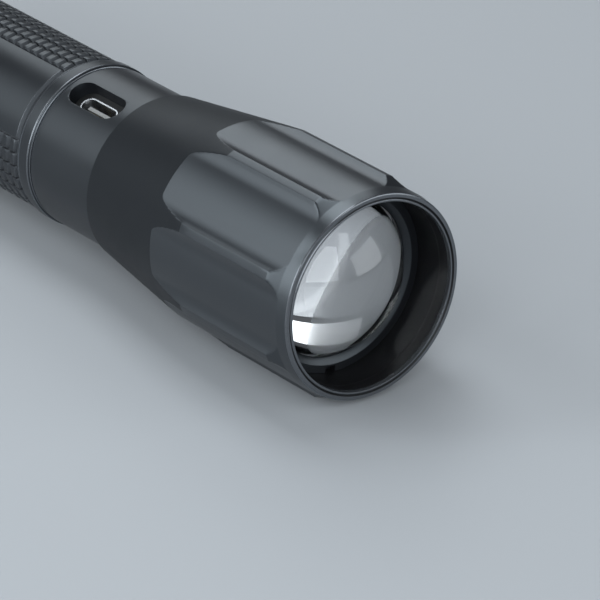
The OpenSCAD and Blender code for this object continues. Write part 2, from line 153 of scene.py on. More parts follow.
class GrainGroups:
    """Node groups that give the finishes their fine surface, built once and shared."""

    _made: dict[Grain, bpy.types.NodeTree] = {}

    @classmethod
    def of(cls, grain: Grain) -> bpy.types.NodeTree:
        """Fetches the node group of a grain.

        Args:
            grain: which grain is wanted.

        Returns:
            A group with Height, Tone and Gloss outputs from 0 to 1.
        """
        if grain not in cls._made:
            cls._made[grain] = cls._build(grain)
        return cls._made[grain]

    @classmethod
    def _build(cls, grain: Grain) -> bpy.types.NodeTree:
        """Lays out a grain: fine pits or fine rings, and large soft patches of gloss.

        Args:
            grain: which grain is built.

        Returns:
            The new node group.
        """
        tree = bpy.data.node_groups.new(grain.value + "_grain", "ShaderNodeTree")
        tree.interface.new_socket("Vector", in_out="INPUT", socket_type="NodeSocketVector")
        for label in ("Size", "Patch"):
            tree.interface.new_socket(label, in_out="INPUT", socket_type="NodeSocketFloat")
        for label in ("Height", "Tone", "Gloss"):
            tree.interface.new_socket(label, in_out="OUTPUT", socket_type="NodeSocketFloat")
        sketch = NodeSketch(tree)
        source = sketch.add("NodeGroupInput")
        target = sketch.add("NodeGroupOutput")
        fine = sketch.add("TexNoise", Detail=3.0, Roughness=0.6)
        patches = sketch.add("TexNoise", Detail=4.0, Roughness=0.55)
        spread = sketch.add("MapRange", From_Min=0.32, From_Max=0.68)
        if grain is Grain.TURNED:
            split = sketch.add("SeparateXYZ")
            along = sketch.add("CombineXYZ")
            sketch.link(source.outputs["Vector"], split.inputs["Vector"])
            sketch.link(split.outputs["X"], along.inputs["X"])
            sketch.link(along.outputs["Vector"], fine.inputs["Vector"])
        else:
            sketch.link(source.outputs["Vector"], fine.inputs["Vector"])
        sketch.link(source.outputs["Size"], fine.inputs["Scale"])
        sketch.link(source.outputs["Vector"], patches.inputs["Vector"])
        sketch.link(source.outputs["Patch"], patches.inputs["Scale"])
        sketch.link(patches.outputs["Fac"], spread.inputs["Value"])
        sketch.link(fine.outputs["Fac"], target.inputs["Height"])
        sketch.link(fine.outputs["Fac"], target.inputs["Tone"])
        sketch.link(spread.outputs["Result"], target.inputs["Gloss"])
        return tree


# Socket numbers of a colour mix node, whose sockets share their names across data types.
MIX_SHARE, MIX_A, MIX_B, MIX_RESULT = 0, 6, 7, 2


@dataclass(frozen=True)
class Finish:
    """One surface finish: its colours, its gloss and its close-range grain."""

    name: str
    dark: Colour
    light: Colour
    rough: tuple[float, float]
    metallic: float = 0.0
    ior: float = 1.5
    grain: Grain = Grain.SPECKLED
    grain_size: float = 3000.0
    patch_size: float = 60.0
    bump: float = 0.0
    bump_depth: float = 0.00005
    coat: float = 0.0
    transmission: float = 0.0
    sheen_tint: Colour = (1.0, 1.0, 1.0)

    def material(self) -> bpy.types.Material:
        """Builds the finish as a node material, once.

        Returns:
            The material, made on the first call and reused after that.
        """
        made = bpy.data.materials.get(self.name)
        if made is not None:
            return made
        made = bpy.data.materials.new(self.name)
        made.use_nodes = True
        sketch = NodeSketch(made.node_tree)
        shader = made.node_tree.nodes["Principled BSDF"]
        shader.inputs["Metallic"].default_value = self.metallic
        shader.inputs["IOR"].default_value = self.ior
        shader.inputs["Coat Weight"].default_value = self.coat
        shader.inputs["Transmission Weight"].default_value = self.transmission
        shader.inputs["Specular Tint"].default_value = (*self.sheen_tint, 1.0)
        place = sketch.add("TexCoord")
        grain = sketch.add("Group")
        grain.node_tree = GrainGroups.of(self.grain)
        grain.inputs["Size"].default_value = self.grain_size
        grain.inputs["Patch"].default_value = self.patch_size
        sketch.link(place.outputs["Object"], grain.inputs["Vector"])
        tone = sketch.add("Mix", data_type="RGBA")
        tone.inputs[MIX_A].default_value = (*self.dark, 1.0)
        tone.inputs[MIX_B].default_value = (*self.light, 1.0)
        sketch.link(grain.outputs["Tone"], tone.inputs[MIX_SHARE])
        sketch.link(tone.outputs[MIX_RESULT], shader.inputs["Base Color"])
        gloss = sketch.add("MapRange", To_Min=self.rough[0], To_Max=self.rough[1])
        sketch.link(grain.outputs["Gloss"], gloss.inputs["Value"])
        sketch.link(gloss.outputs["Result"], shader.inputs["Roughness"])
        if self.bump > 0.0:
            bump = sketch.add("Bump", Strength=self.bump, Distance=self.bump_depth)
            sketch.link(grain.outputs["Height"], bump.inputs["Height"])
            sketch.link(bump.outputs["Normal"], shader.inputs["Normal"])
        return made


COOL = (0.84, 0.93, 1.0)


class Finishes:
    """The finishes used on the torch."""

    BLASTED_BLACK = Finish(
        "blasted_black", (0.003, 0.0034, 0.0044), (0.008, 0.009, 0.011), (0.42, 0.50),
        ior=1.33, grain_size=4200.0, bump=0.30, bump_depth=0.00003, sheen_tint=COOL)
    MILLED_BLACK = Finish(
        "milled_black", (0.004, 0.0043, 0.0053), (0.009, 0.010, 0.0125), (0.29, 0.35),
        ior=1.66, grain_size=4200.0, bump=0.14, bump_depth=0.00002, sheen_tint=COOL)
    TURNED_BLACK = Finish(
        "turned_black", (0.004, 0.0043, 0.0053), (0.009, 0.0098, 0.012), (0.29, 0.36),
        grain=Grain.TURNED, grain_size=2400.0, bump=0.08, bump_depth=0.00002, sheen_tint=COOL)
    CUT_EDGE = Finish(
        "cut_edge", (0.10, 0.105, 0.115), (0.16, 0.168, 0.18), (0.20, 0.28),
        metallic=0.8, ior=1.6, grain=Grain.TURNED, grain_size=2600.0, sheen_tint=COOL)
    # Lighter than the black around it: painted light that lifts the shade in the knurl's gaps.
    GROOVE_PAINTED_LIGHT = Finish(
        "groove_painted_light", (0.030, 0.0317, 0.035), (0.042, 0.044, 0.0485), (0.44, 0.54),
        ior=1.4, grain_size=4200.0, sheen_tint=COOL)
    BORE_BLACK = Finish(
        "bore_black", (0.002, 0.002, 0.0024), (0.005, 0.005, 0.006), (0.44, 0.54),
        ior=1.34, grain=Grain.TURNED, grain_size=1800.0, bump=0.1, bump_depth=0.00003)
    # Near white: painted light on the chamber wall behind the lens, which brightens what the lens
    # shows.
    BORE_PAINTED_LIGHT = Finish(
        "bore_painted_light", (0.72, 0.74, 0.77), (0.84, 0.86, 0.88), (0.46, 0.58),
        grain=Grain.TURNED, grain_size=1800.0, bump=0.1, bump_depth=0.00003)
    CLEAR_GLASS = Finish(
        "clear_glass", (0.985, 0.992, 1.0), (1.0, 1.0, 1.0), (0.0, 0.01),
        ior=1.52, transmission=1.0, patch_size=120.0)
    SEAL_RUBBER = Finish(
        "seal_rubber", (0.006, 0.006, 0.006), (0.014, 0.014, 0.014), (0.5, 0.66),
        grain_size=2400.0, bump=0.2, bump_depth=0.00004)
    BUTTON_RUBBER = Finish(
        "button_rubber", (0.010, 0.010, 0.010), (0.022, 0.022, 0.023), (0.56, 0.72),
        grain_size=1800.0, bump=0.3, bump_depth=0.00006)
    TURNED_BRASS = Finish(
        "turned_brass", (0.58, 0.40, 0.14), (0.72, 0.53, 0.22), (0.22, 0.34),
        metallic=1.0, grain=Grain.TURNED, grain_size=1500.0, bump=0.12)
    PLATED_STEEL = Finish(
        "plated_steel", (0.50, 0.51, 0.53), (0.68, 0.69, 0.71), (0.20, 0.32),
        metallic=1.0, grain_size=1800.0, bump=0.05)
    GOLD_CONTACT = Finish(
        "gold_contact", (0.76, 0.54, 0.20), (0.88, 0.66, 0.28), (0.16, 0.24), metallic=1.0)
    GREEN_MASK = Finish(
        "green_mask", (0.010, 0.085, 0.035), (0.022, 0.14, 0.06), (0.28, 0.40),
        grain_size=900.0, bump=0.08)
    WHITE_MASK = Finish(
        "white_mask", (0.66, 0.66, 0.63), (0.80, 0.80, 0.77), (0.34, 0.46),
        grain_size=900.0, bump=0.06)
    BLACK_MOULDING = Finish(
        "black_moulding", (0.010, 0.010, 0.011), (0.024, 0.024, 0.026), (0.42, 0.56),
        grain_size=2000.0, bump=0.22)
    GREY_MOULDING = Finish(
        "grey_moulding", (0.20, 0.20, 0.20), (0.30, 0.30, 0.29), (0.36, 0.48),
        grain_size=1800.0, bump=0.12)
    CELL_WRAP = Finish(
        "cell_wrap", (0.03, 0.12, 0.30), (0.05, 0.17, 0.38), (0.16, 0.26),
        grain_size=500.0, bump=0.05, coat=0.3)
    LAMP_SILICONE = Finish(
        "lamp_silicone", (0.82, 0.60, 0.08), (0.90, 0.72, 0.16), (0.08, 0.16),
        grain_size=1200.0, coat=0.5)


@dataclass(frozen=True)
class Layout:
    """Where the torch's stations lie in the shared frame."""

    rim_x: float

    @classmethod
    def from_frame(cls) -> "Layout":
        """Reads the rim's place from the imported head."""
        return cls(rim_x=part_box("head_shell")[1].x)

    def x(self, station: float) -> float:
        """Turns a station behind the rim into a place along X."""
        return self.rim_x - station

    def station(self, x: float) -> float:
        """Turns a place along X into a station behind the rim."""
        return self.rim_x - x


def radius_of(point: Vector) -> float:
    """Distance of a point from the torch's axis."""
    return math.hypot(point.y, point.z)


def turn_of(point: Vector) -> float:
    """Angle of a point round the torch's axis, from straight up."""
    return math.atan2(point.y, point.z)


def cad_copy(node: str) -> bmesh.types.BMesh:
    """Copies a CAD node's mesh, joined up and with its flat facets merged.

    Args:
        node: the CAD node's name.

    Returns:
        A new mesh to shape further.
    """
    mesh = bmesh.new()
    mesh.from_mesh(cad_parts[node].data)
    bmesh.ops.remove_doubles(mesh, verts=mesh.verts, dist=CAD_MERGE)
    bmesh.ops.dissolve_limit(
        mesh, angle_limit=CAD_FLAT, use_dissolve_boundaries=False,
        verts=mesh.verts, edges=mesh.edges, delimit=set())
    return mesh


def in_order(mesh: bmesh.types.BMesh) -> None:
    """Sorts a mesh by place, so that later steps take its elements alike in each run.

    Args:
        mesh: the mesh to sort.
    """
    mesh.verts.sort(key=lambda vert: vert.co.dot(SORT_LINE))
    mesh.edges.sort(key=lambda edge: sum(vert.co.dot(SORT_LINE) for vert in edge.verts))
    mesh.faces.sort(key=lambda face: face.calc_center_median().dot(SORT_LINE))


def turned(layout: Layout, profile: Profile, steps: int, edge_round: float = 0.0,
           longest: float = 1.0) -> bmesh.types.BMesh:
    """Spins a closed outline round the torch's axis.

    Args:
        layout: places the stations along X.
        profile: pairs of station and radius, in order round the outline.
        steps: divisions of the full turn.
        edge_round: size of the rounding at the outline's corners, or 0 for none.
        longest: longest stretch of outline that stays undivided.

    Returns:
        The turned mesh with its faces outward.
    """
    mesh = bmesh.new()
    ring = [mesh.verts.new((layout.x(station), 0.0, radius)) for station, radius in profile]
    for a, b in zip(ring, ring[1:] + ring[:1]):
        mesh.edges.new((a, b))
    if edge_round > 0.0:
        bmesh.ops.bevel(
            mesh, geom=ring, offset=edge_round, offset_type="OFFSET", segments=2, profile=0.5,
            affect="VERTICES", clamp_overlap=True, material=-1)
    for edge in list(mesh.edges):
        cuts = int(edge.calc_length() / longest)
        if cuts > 0:
            bmesh.ops.subdivide_edges(mesh, edges=[edge], cuts=cuts)
    bmesh.ops.spin(
        mesh, geom=mesh.verts[:] + mesh.edges[:], cent=ORIGIN, axis=AXIS, angle=math.tau,
        steps=steps, use_merge=True, use_duplicate=False)
    bmesh.ops.remove_doubles(mesh, verts=mesh.verts, dist=SPIN_MERGE)
    bmesh.ops.dissolve_degenerate(mesh, dist=SPIN_SLIVER, edges=mesh.edges)
    bmesh.ops.recalc_face_normals(mesh, faces=mesh.faces)
    in_order(mesh)
    return mesh


def arc(centre: tuple[float, float], radius: float, start: float, end: float,
        count: int) -> Profile:
    """Points on a circular arc in station and radius.

    Args:
        centre: station and radius of the arc's centre.
        radius: the arc's own radius.
        start: first angle in degrees, from the station axis toward larger radii.
        end: last angle in degrees.
        count: number of steps along the arc.

    Returns:
        The arc's points from start to end.
    """
    angles = [math.radians(start + (end - start) * i / count) for i in range(count + 1)]
    return [
        (centre[0] + radius * math.cos(angle), centre[1] + radius * math.sin(angle))
        for angle in angles]


def edges_within(layout: Layout, radius: float, front: float, rear: float) -> EdgeTest:
    """Makes a test for edges that lie outside a radius and between two stations.

    Args:
        layout: places the stations along X.
        radius: the radius that both corners of an edge lie outside.
        front: the station that they lie behind.
        rear: the station that they lie in front of.

    Returns:
        The test.
    """
    return lambda edge: all(
        radius_of(vert.co) > radius and front < layout.station(vert.co.x) < rear
        for vert in edge.verts)


def soften(mesh: bmesh.types.BMesh, width: float, least_angle: float, segments: int = 2,
           where: EdgeTest | None = None) -> list[bmesh.types.BMFace]:
    """Rounds the edges that turn more than an angle.

    Args:
        mesh: the mesh to round.
        width: width of the rounding.
        least_angle: smallest turn, in degrees, that is rounded.
        segments: steps across a rounding.
        where: picks among the sharp edges, or None for all of them.

    Returns:
        The faces of the roundings.
    """
    limit = math.radians(least_angle)
    sharp = [
        edge for edge in mesh.edges
        if len(edge.link_faces) == 2 and edge.calc_face_angle(0.0) > limit
        and (where is None or where(edge))]
    return bmesh.ops.bevel(
        mesh, geom=sharp, offset=width, offset_type="OFFSET", segments=segments,
        profile=0.5, affect="EDGES", clamp_overlap=True, material=-1)["faces"]


def carve(base: bmesh.types.BMesh, cutter: bmesh.types.BMesh, slots: int) -> bmesh.types.BMesh:
    """Cuts one closed shape out of another.

    Args:
        base: the shape that is cut; freed here.
        cutter: the shape that is taken away; freed here.
        slots: number of materials; cut faces keep the cutter's material numbers.

    Returns:
        The cut shape.
    """
    made = []
    for name, shape in (("carve_base", base), ("carve_cutter", cutter)):
        data = bpy.data.meshes.new(name)
        shape.to_mesh(data)
        shape.free()
        for _ in range(slots):
            data.materials.append(None)
        made.append(bpy.data.objects.new(name, data))
        bpy.context.scene.collection.objects.link(made[-1])
    cut = made[0].modifiers.new("carve", "BOOLEAN")
    cut.operation = "DIFFERENCE"
    cut.solver = "EXACT"
    cut.material_mode = "INDEX"
    cut.object = made[1]
    result = bmesh.new()
    result.from_object(made[0], bpy.context.evaluated_depsgraph_get())
    for helper in made:
        bpy.data.meshes.remove(helper.data)
    in_order(result)
    return result


def finish_piece(name: str, mesh: bmesh.types.BMesh, body: Body,
                 finishes: list[Finish], replaces: tuple[str, ...] = (),
                 smooth_angle: float = 32.0) -> bpy.types.Object:
    """Turns a mesh into a finished piece that rides on a body.

    Args:
        name: the piece's name.
        mesh: its shape, in the shared frame; freed here.
        body: the body that it moves with.
        finishes: its finishes, in the order of the faces' material numbers.
        replaces: CAD nodes that it stands for.
        smooth_angle: edges under this turn, in degrees, are shaded smooth.

    Returns:
        The new object.
    """
    data = bpy.data.meshes.new(name)
    mesh.to_mesh(data)
    mesh.free()
    for finish in finishes:
        data.materials.append(finish.material())
    piece = bpy.data.objects.new(name, data)
    bpy.context.scene.collection.objects.link(piece)
    data.shade_smooth()
    data.set_sharp_from_angle(angle=math.radians(smooth_angle))
    shading = piece.modifiers.new("even_shading", "WEIGHTED_NORMAL")
    shading.keep_sharp = True
    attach(piece, body.value)
    if replaces:
        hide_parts(*replaces)
    LOG.info("%s: %d faces on %s", name, len(data.polygons), body.value)
    return piece


def dress(finish: Finish, *nodes: str) -> None:
    """Gives CAD nodes their finish.

    Args:
        finish: the finish that covers them.
        nodes: the CAD nodes' names.
    """
    for node in nodes:
        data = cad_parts[node].data
        data.materials.clear()
        data.materials.append(finish.material())
        LOG.info("%s: dressed in %s", node, finish.name)


@dataclass
class RidgedOutline:
    """Cross-section of the head: narrow lands, hollow flanks and round floors, repeated."""

    count: int
    land_r: float
    floor_r: float
    land_w: float
    flank_w: float
    flank_steps: int = 8
    floor_steps: int = 7

    def __post_init__(self) -> None:
        """Works out the angles of the land's edge and the flank's foot, and the flank's circle."""
        self.pitch = math.tau / self.count
        self.land_half = math.asin(self.land_w / 2.0 / self.land_r)
        span = self.flank_w / self.floor_r
        self.foot = self.land_half + span
        reach = self.land_r * math.cos(span)
        self.flank_r = (self.land_r ** 2 + self.floor_r ** 2 - 2.0 * self.floor_r * reach) / (
            2.0 * (reach - self.floor_r))

    def radius(self, turn: float) -> float:
        """Radius of the outline at an angle.

        Args:
            turn: angle from the middle of any land.

        Returns:
            The distance from the axis.
        """
        away = abs((turn + self.pitch / 2.0) % self.pitch - self.pitch / 2.0)
        if away <= self.land_half + 1e-9:
            return self.land_r
        if away >= self.foot:
            return self.floor_r
        lean = self.foot - away
        centre = self.floor_r + self.flank_r
        return centre * math.cos(lean) - math.sqrt(
            self.flank_r ** 2 - (centre * math.sin(lean)) ** 2)

    def columns(self) -> list[float]:
        """Angles of the mesh's columns over one full turn, from the middle of a land.

        Returns:
            The angles in rising order.
        """
        span = self.foot - self.land_half
        half = [0.0, self.land_half / 2.0]
        half += [self.land_half + span * i / self.flank_steps for i in range(self.flank_steps)]
        rest = self.pitch / 2.0 - self.foot
        half += [self.foot + rest * i / self.floor_steps for i in range(self.floor_steps)]
        one = half + [self.pitch / 2.0] + [self.pitch - angle for angle in half[:0:-1]]
        return [angle + self.pitch * i for i in range(self.count) for angle in one]

    def flank_radii(self) -> list[float]:
        """Radii of the outline where the columns of one flank stand.

        Returns:
            The radii from foot to land.
        """
        span = self.foot - self.land_half
        return [
            self.radius(self.foot - span * i / self.flank_steps)
            for i in range(self.flank_steps + 1)]


@dataclass
class HeadAssembly:
    """Sliding head with the rim ring, the lens and the ring that holds the lens."""

    layout: Layout
    rim_len: float = 2.5 * MM
    nose_len: float = 5.0 * MM
    ridge_end: float = 28.0 * MM
    head_len: float = 57.8 * MM
    ridge_r: float = 19.35 * MM
    floor_r: float = 18.25 * MM
    rim_r: float = 18.0 * MM
    neck_r: float = 15.25 * MM
    bezel_r: float = 17.05 * MM
    bezel_len: float = 3.0 * MM
    bore_r: float = 16.4 * MM
    chamber_r: float = 15.6 * MM
    chamber_front: float = 14.6 * MM
    # Rear end of the near-white painted light on the chamber wall.
    painted_light_end: float = 28.0 * MM
    bush_r: float = 14.6 * MM
    bush_front: float = 47.0 * MM
    lens_recess: float = 8.6 * MM
    dome_h: float = 8.1 * MM
    dome_inset: float = 3.3 * MM
    flange_fit: float = 0.15 * MM
    flange_back: float = 2.6 * MM
    flange_t: float = 2.4 * MM
    ridge_count: int = 8
    land_w: float = 1.5 * MM
    flank_w: float = 2.6 * MM
    runout_len: float = 10.0 * MM
    rim_edge: float = 0.25 * MM
    rim_bow: tuple[float, float] = (0.08 * MM, 0.1 * MM)
    band_rise: float = 0.3 * MM
    band_step: float = 0.05 * MM
    first_row: float = 0.06 * MM
    neck_edge: float = 0.15 * MM
    bore_edge: float = 0.2 * MM
    ridge_rows: int = 10
    neck_rows: int = 16
    ridge_round: float = 0.09 * MM
    bezel_fit: float = 0.03 * MM
    slope_len: float = 0.7 * MM
    slope_w: float = 0.5 * MM
    bezel_round: float = 0.05 * MM
    clamp_round: float = 0.08 * MM

    def envelope(self, ridges: RidgedOutline) -> Profile:
        """Outer outline of the head before its flutes, with a row wherever a flute crosses it.

        Args:
            ridges: the cross-section whose edges the rows follow.

        Returns:
            Stations and radii from the rim to the rear edge of the neck.
        """
        radii = ridges.flank_radii()
        band = self.band_rise / (self.rim_len - self.rim_edge)
        nose = (self.ridge_r - self.floor_r - self.band_step) / (self.nose_len - self.rim_len)
        neck_end = self.head_len - self.neck_edge
        cone = (self.ridge_r - self.neck_r) / (neck_end - self.ridge_end)
        points = [
            (0.0, self.rim_r - self.rim_edge), (self.rim_bow[0], self.rim_r - self.rim_bow[1]),
            (self.rim_edge, self.rim_r),
            (self.rim_edge + (self.floor_r - self.rim_r) / band, self.floor_r),
            (self.rim_len, self.floor_r + self.band_step)]
        points += [
            (self.nose_len - (self.ridge_r - radius) / nose, radius)
            for radius in radii[1:-1] if radius > self.floor_r + self.first_row]
        points += [
            (self.nose_len + (self.ridge_end - self.nose_len) * i / self.ridge_rows, self.ridge_r)
            for i in range(self.ridge_rows)]
        points += [
            (self.ridge_end + (self.ridge_r - radius) / cone, radius)
            for radius in reversed(radii)]
        foot, foot_r = points[-1]
        shares = [i / self.neck_rows for i in range(1, self.neck_rows + 1)]
        points += [
            (foot + (neck_end - foot) * share, foot_r + (self.neck_r - foot_r) * share)
            for share in shares]
        return points + [(self.head_len, self.neck_r - self.neck_edge)]

    def bore(self) -> Profile:
        """Inner outline of the head, from the rear edge of the neck to the rim.

        Returns:
            Stations and radii.
        """
        return [
            (self.head_len, self.bush_r + self.bore_edge),
            (self.head_len - self.bore_edge, self.bush_r),
            (self.bush_front, self.bush_r), (self.bush_front, self.chamber_r),
            (self.painted_light_end, self.chamber_r), (self.chamber_front, self.chamber_r),
            (self.chamber_front, self.bore_r), (self.bezel_len, self.bore_r),
            (self.bezel_len, self.bezel_r), (self.bore_edge, self.bezel_r),
            (0.0, self.bezel_r + self.bore_edge)]

    def shell(self) -> None:
        """Builds the fluted shell with blasted, milled and bored faces and softened ridge edges."""
        ridges = RidgedOutline(
            self.ridge_count, self.ridge_r, self.floor_r, self.land_w, self.flank_w)
        columns = ridges.columns()
        step = math.tau / len(columns)
        half = ridges.pitch / 2.0
        mesh = turned(self.layout, self.envelope(ridges) + self.bore(), len(columns))
        for vert in mesh.verts:
            column = round((turn_of(vert.co) % math.tau) / step) % len(columns)
            radius = min(radius_of(vert.co), ridges.radius(columns[column]))
            turn = columns[column] + half
            vert.co.y = radius * math.sin(turn)
            vert.co.z = radius * math.cos(turn)
        mesh.normal_update()
        self.crease(mesh, ridges)
        for face in mesh.faces:
            face.material_index = self.surface_of(face, ridges)
        soften(mesh, self.ridge_round, least_angle=9.0, where=edges_within(
            self.layout, self.floor_r - SKIN_SLACK, 2.0 * self.rim_edge,
            self.ridge_end + self.runout_len))
        finish_piece("fluted_head", mesh, Body.HEAD, [
            Finishes.BLASTED_BLACK, Finishes.MILLED_BLACK, Finishes.BORE_BLACK, Finishes.BORE_PAINTED_LIGHT,
            Finishes.CUT_EDGE], ("head_shell",), smooth_angle=24.0)

    def surface_of(self, face: bmesh.types.BMFace, ridges: RidgedOutline) -> ShellFace:
        """Tells which finish a face of the shell takes.

        Args:
            face: a face of the shell.
            ridges: the shell's cross-section.

        Returns:
            The material number; the lands and the nose count as flutes.
        """
        least_outward = 0.3
        front_skin = 0.1 * MM
        on_flute = 0.004 * MM
        middle = face.calc_center_median()
        station = self.layout.station(middle.x)
        outward = face.normal.y * middle.y + face.normal.z * middle.z
        if outward < least_outward * radius_of(middle) and station > front_skin:
            # The wall behind the lens takes the near-white finish: painted light seen through the
            # lens.
            pale = self.chamber_front < station < self.painted_light_end
            return ShellFace.BEHIND_LENS if pale else ShellFace.BORE
        if station < self.rim_edge:
            return ShellFace.RIM_EDGE
        fluted = all(abs(self.depth(vert, ridges)) < on_flute for vert in face.verts)
        return ShellFace.FLUTE if fluted or station < self.ridge_end else ShellFace.NECK

    @staticmethod
    def depth(vert: bmesh.types.BMVert, ridges: RidgedOutline) -> float:
        """How far a corner of the shell lies below the cross-section at its angle."""
        return ridges.radius(turn_of(vert.co) - ridges.pitch / 2.0) - radius_of(vert.co)

    def crease(self, mesh: bmesh.types.BMesh, ridges: RidgedOutline) -> None:
        """Splits the faces that a flute's end crosses from corner to corner.

        Args:
            mesh: the shell.
            ridges: its cross-section.
        """
        near = 0.003 * MM
        apart = 0.01 * MM
        inside = self.floor_r - 0.2 * MM
        for face in list(mesh.faces):
            corners = list(face.verts)
            if len(corners) != 4 or radius_of(face.calc_center_median()) < inside:
                continue
            away = [self.depth(vert, ridges) for vert in corners]
            for a, b in ((0, 2), (1, 3)):
                others = [away[i] for i in range(4) if i not in (a, b)]
                on_line = max(abs(away[a]), abs(away[b])) < near
                if on_line and max(others) > apart and min(others) < near:
                    bmesh.utils.face_split(face, corners[a], corners[b])
                    break

    def rim(self) -> None:
        """Builds the rim's front ring with a sloped inner edge."""
        outer = self.bezel_r - self.bezel_fit
        slope_end = self.slope_len + SKIN_SLACK
        mesh = turned(self.layout, [
            (0.0, outer - self.bore_edge), (self.bore_edge, outer), (self.bezel_len, outer),
            (self.bezel_len, self.bore_r), (self.slope_len, self.bore_r),
            (0.0, self.bezel_r - self.slope_w)],
            steps=192, edge_round=self.bezel_round, longest=0.6 * MM)
        for face in mesh.faces:
            inside = self.layout.station(face.calc_center_median().x) > slope_end
            face.material_index = RimFace.INSIDE if inside else RimFace.FRONT
        finish_piece(
            "rim_ring", mesh, Body.HEAD,
            [Finishes.CUT_EDGE, Finishes.BORE_BLACK], ("bezel_ring",))

    def lens(self) -> None:
        """Builds the clear dome lens on its flange."""
        outer = self.bore_r - self.flange_fit
        base = self.bore_r - self.dome_inset
        dome = (base * base + self.dome_h * self.dome_h) / (2.0 * self.dome_h)
        middle = self.lens_recess - self.dome_h + dome
        front = self.lens_recess + self.flange_back
        edge = math.degrees(math.acos((middle - front) / dome))
        back = front + self.flange_t
        profile = arc((middle, 0.0), dome, 180.0, 180.0 - edge, count=36)
        profile += [(front, outer), (back, outer), (back, 0.0)]
        mesh = turned(self.layout, profile, steps=160)
        finish_piece(
            "dome_lens", mesh, Body.HEAD, [Finishes.CLEAR_GLASS], ("lens",),
            smooth_angle=30.0)

    def clamp(self) -> None:
        """Builds the notched ring that holds the lens."""
        mesh = cad_copy("lens_ring")
        soften(mesh, self.clamp_round, least_angle=25.0)
        finish_piece(
            "lens_clamp_ring", mesh, Body.HEAD, [Finishes.TURNED_BLACK],
            ("lens_ring",))

    def build(self) -> None:
        """Builds and dresses the whole head."""
        self.shell()
        self.rim()
        self.lens()
        self.clamp()
        dress(Finishes.SEAL_RUBBER, "lens_gasket")


